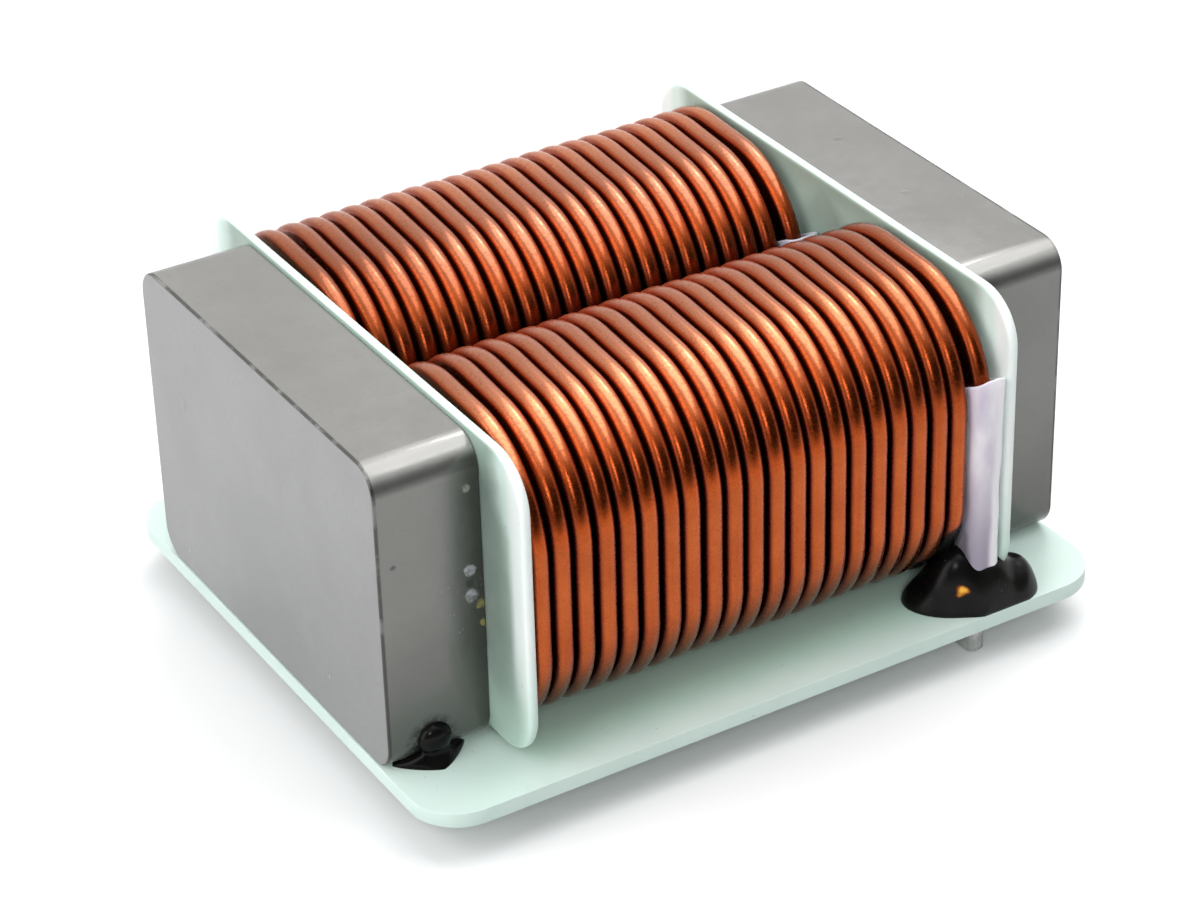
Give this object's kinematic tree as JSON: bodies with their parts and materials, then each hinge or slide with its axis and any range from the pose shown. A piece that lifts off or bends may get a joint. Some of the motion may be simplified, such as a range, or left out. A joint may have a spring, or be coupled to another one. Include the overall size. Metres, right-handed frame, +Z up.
{
  "type": "flat wire inductor",
  "caption": "Power choke with two parallel edge-wound flat copper wire coils on a closed rectangular block core, with plastic bobbin flanges, base plate and solder pins.",
  "frame": {"origin": "centre of the base plate's underside, the seating plane", "axes": "+X along both coils towards the right yoke, +Y from the front coil to the rear coil, +Z up, out of the base plate; the pins point down, -Z"},
  "size_m": [0.0586, 0.0498, 0.0299],
  "materials": {
    "core": "satin grey coating on pressed powder",
    "bobbin_plastic": "pale mint, slightly glossy",
    "enamelled_copper": "copper under clear enamel, glossy",
    "sleeve": "soft white tube",
    "epoxy": "glossy black"
  },
  "bodies": {
    "root": {"yoke_left": "core", "yoke_right": "core", "leg_front": "core", "leg_rear": "core", "bobbin_left": "bobbin_plastic", "bobbin_right": "bobbin_plastic", "base_plate": "bobbin_plastic", "winding_front": "enamelled_copper", "winding_rear": "enamelled_copper", "sleeve_front_left": "sleeve", "sleeve_front_right": "sleeve", "sleeve_rear_left": "sleeve", "sleeve_rear_right": "sleeve", "epoxy_front_left": "epoxy", "epoxy_front_right": "epoxy", "epoxy_rear_left": "epoxy", "epoxy_rear_right": "epoxy", "epoxy_yoke_left": "epoxy", "epoxy_yoke_right": "epoxy"}
  },
  "joints": []
}
